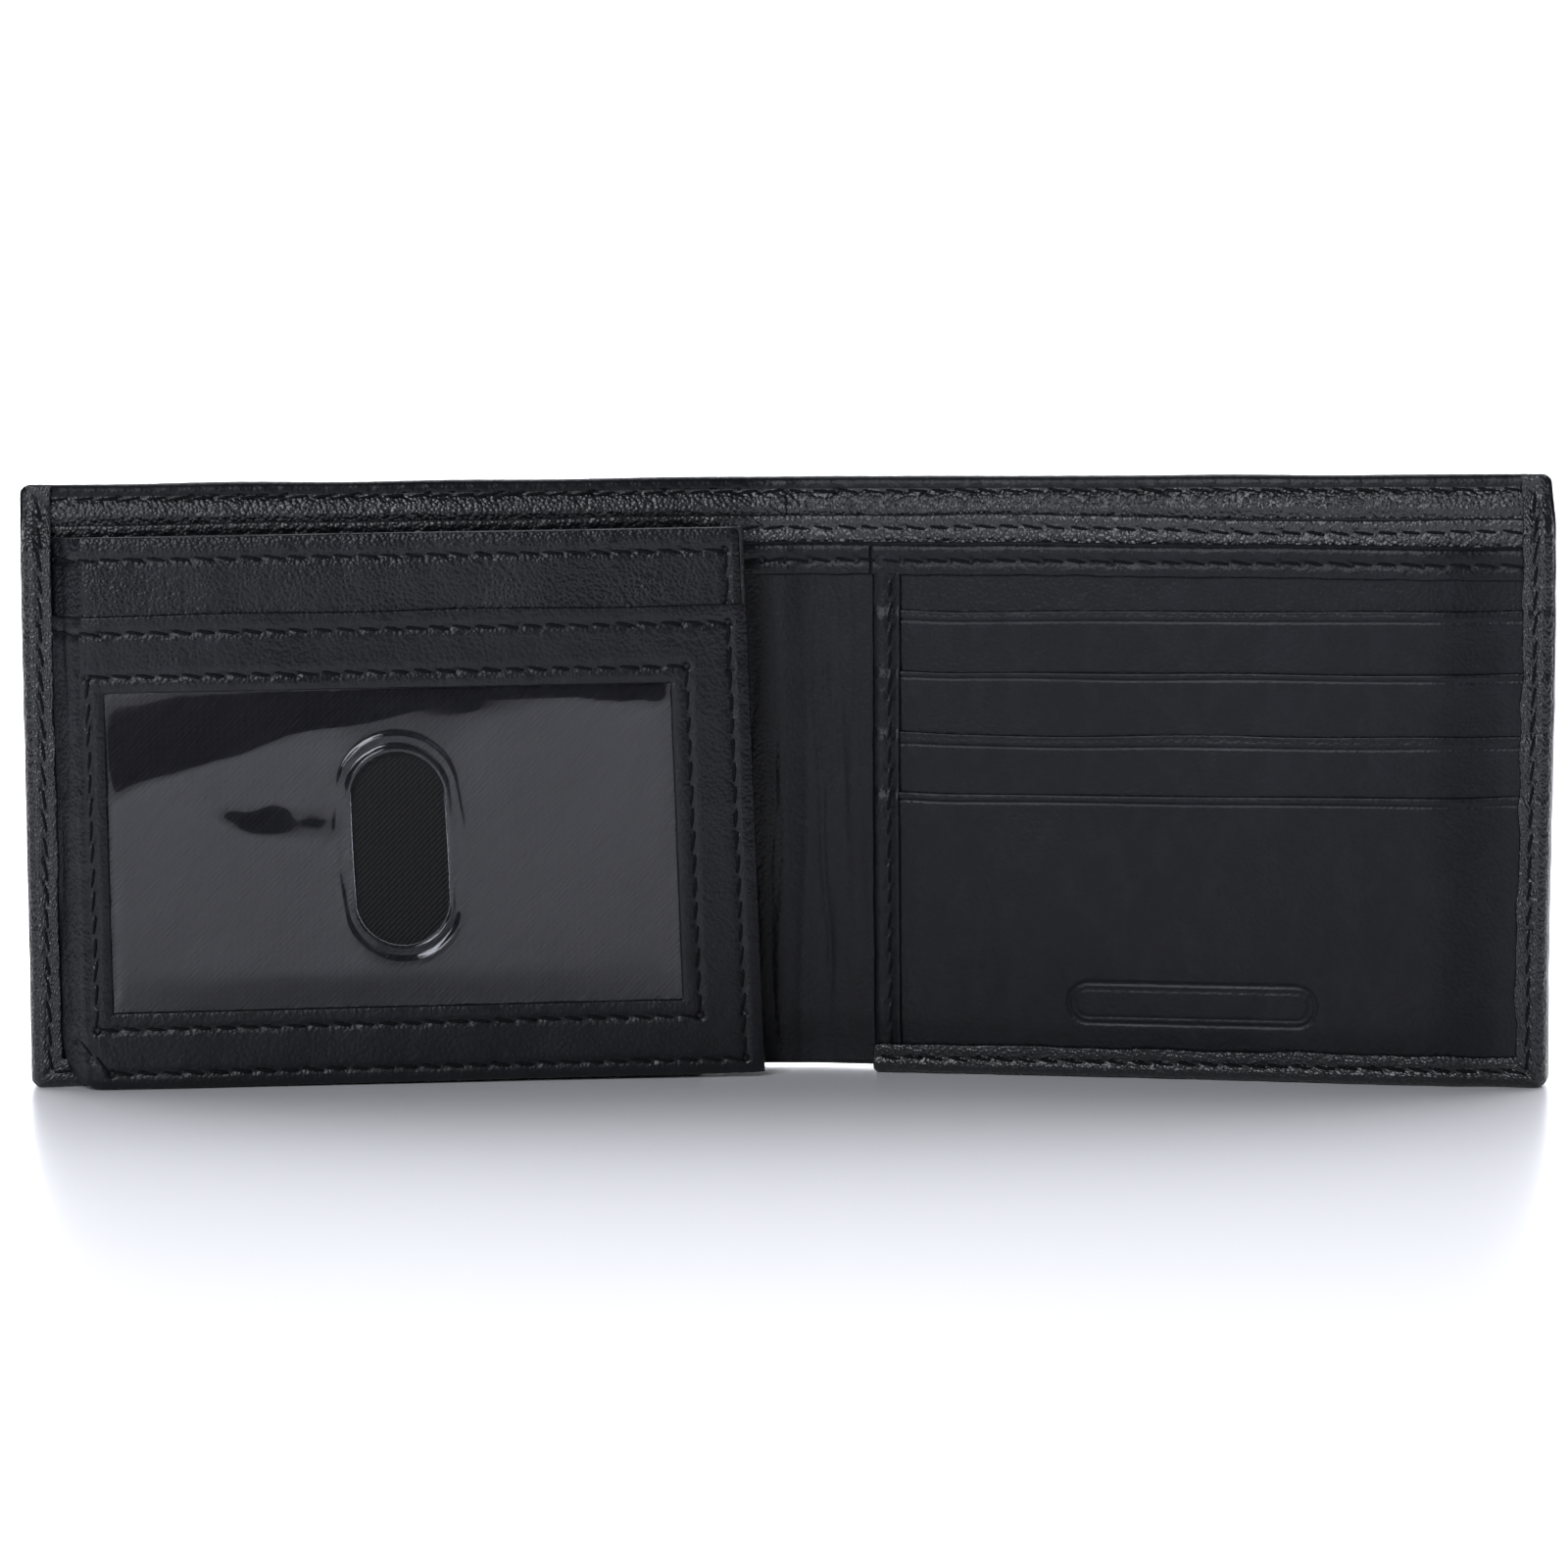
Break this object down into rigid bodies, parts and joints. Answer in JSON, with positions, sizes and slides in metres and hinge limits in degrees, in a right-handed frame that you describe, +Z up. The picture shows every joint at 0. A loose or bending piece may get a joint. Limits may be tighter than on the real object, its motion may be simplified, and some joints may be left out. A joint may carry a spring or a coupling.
{
  "type": "fold-out card wallet",
  "caption": "Black leather bifold wallet standing open in a shallow V, with a fold-out flap that carries a clear identification window, and a panel of stepped card slots.",
  "frame": {"origin": "bottom centre of the bounding box, at the height the wallet stands on", "axes": "+X from the flap's half to the card half, along the wallet's length; -Y towards the viewer, the side the inside faces; +Z up"},
  "size_m": [0.2264, 0.027, 0.09],
  "materials": {
    "leather": "satin",
    "skived_leather": "satin",
    "lining_fabric": "matte",
    "clear_film": "gloss",
    "window_lining": "matte",
    "thread": "matte"
  },
  "bodies": {
    "left_half": {"shell_left": "leather", "lining_left": "lining_fabric", "bill_divider_left": "lining_fabric", "divider_hem_left": "skived_leather", "inner_backing_left": "lining_fabric", "inner_panel_left": "leather", "top_binding_left": "skived_leather", "slip_pocket_left": "skived_leather", "card_slot_left_1": "skived_leather", "card_slot_left_2": "skived_leather", "card_slot_left_3": "skived_leather", "card_bags_left": "lining_fabric", "stitching_top_left": "thread", "stitching_divider_left": "thread", "stitching_binding_left": "thread", "stitching_edge_left": "thread", "stitching_side_left": "thread", "flap_anchor": "leather"},
    "spine": {"shell_spine": "leather", "lining_spine": "lining_fabric", "bill_divider_spine": "lining_fabric", "divider_hem_spine": "skived_leather", "inner_backing_spine": "lining_fabric", "inner_panel_spine": "leather", "top_binding_spine": "skived_leather", "stitching_spine": "thread"},
    "right_half": {"shell_right": "leather", "lining_right": "lining_fabric", "bill_divider_right": "lining_fabric", "divider_hem_right": "skived_leather", "inner_backing_right": "lining_fabric", "inner_panel_right": "leather", "top_binding_right": "skived_leather", "slip_pocket_right": "skived_leather", "card_slot_right_1": "skived_leather", "card_slot_right_2": "skived_leather", "card_slot_right_3": "skived_leather", "card_slot_right_4": "skived_leather", "card_bags_right": "lining_fabric", "stitching_top_right": "thread", "stitching_divider_right": "thread", "stitching_binding_right": "thread", "stitching_edge_right": "thread", "stitching_side_right": "thread"},
    "flap": {"flap_hinge_strip": "leather", "flap_window_frame": "leather", "flap_window_film": "clear_film", "flap_window_backing": "window_lining", "flap_top_panel": "leather", "flap_back_panel": "leather", "flap_back_bags": "lining_fabric", "stitching_flap_edge": "thread", "stitching_flap_window": "thread", "flap_back_slot_1": "skived_leather", "flap_back_slot_2": "skived_leather", "flap_back_slot_3": "skived_leather"}
  },
  "joints": [
    {"name": "spine_fold_left", "type": "hinge", "parent": "left_half", "child": "spine", "pos_m": [-0.004, 0.00763, 0], "axis": [0, 0, -1], "range_deg": [-10, 80]},
    {"name": "spine_fold_right", "type": "hinge", "parent": "spine", "child": "right_half", "pos_m": [0.004, 0.00763, 0], "axis": [0, 0, -1], "range_deg": [-10, 80]},
    {"name": "flap_hinge", "type": "hinge", "parent": "left_half", "child": "flap", "pos_m": [-0.10781, -0.01119, 0], "axis": [0, 0, -1], "range_deg": [-1.6, 178.4]}
  ],
  "couplings": [
    {"joint": "spine_fold_right", "follows": "spine_fold_left", "ratio": 1}
  ]
}
